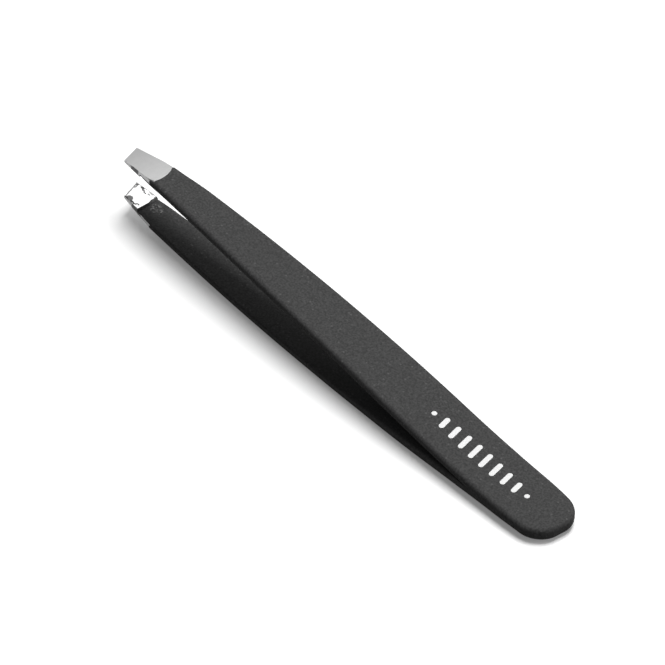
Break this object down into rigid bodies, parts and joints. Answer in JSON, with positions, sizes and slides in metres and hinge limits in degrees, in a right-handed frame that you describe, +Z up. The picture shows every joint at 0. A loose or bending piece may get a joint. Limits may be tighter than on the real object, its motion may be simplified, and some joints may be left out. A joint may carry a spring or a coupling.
{
  "type": "slant tweezers",
  "caption": "Slant-tip tweezers: two bowed spring-steel arms welded at the heel, matte black coated, with bare ground slanted jaws.",
  "frame": {"origin": "middle of the footprint on the surface that the tweezers lie on", "axes": "+X from the heel to the jaws, +Y across the arms, +Z up; the tweezers lie on the heel and on the lower arm's belly, so their mid-plane rises 3.28 degrees towards the jaws"},
  "size_m": [0.095, 0.0094, 0.011],
  "materials": {
    "steel": "satin ground stainless steel",
    "weld": "as welded",
    "coat": "matte speckled powder coat",
    "ink": "matte printed ink"
  },
  "bodies": {
    "heel": {"upper_tang": "steel", "lower_tang": "steel", "weld_nuggets": "weld", "heel_coating": "coat", "heel_print": "ink"},
    "upper": {"upper_arm": "steel", "upper_coating": "coat", "arm_print": "ink"},
    "lower": {"lower_arm": "steel", "lower_coating": "coat"}
  },
  "joints": [
    {"name": "upper_arm_flex", "type": "hinge", "parent": "heel", "child": "upper", "pos_m": [-0.03252, 0, 0.00202], "axis": [0, 1, 0], "range_deg": [0, 2.27], "stiffness_Nm_per_rad": 1.6},
    {"name": "lower_arm_flex", "type": "hinge", "parent": "heel", "child": "lower", "pos_m": [-0.03252, 0, 0.00202], "axis": [0, -1, 0], "range_deg": [0, 2.27], "stiffness_Nm_per_rad": 1.6}
  ],
  "couplings": [
    {"joint": "lower_arm_flex", "follows": "upper_arm_flex", "ratio": 1}
  ]
}
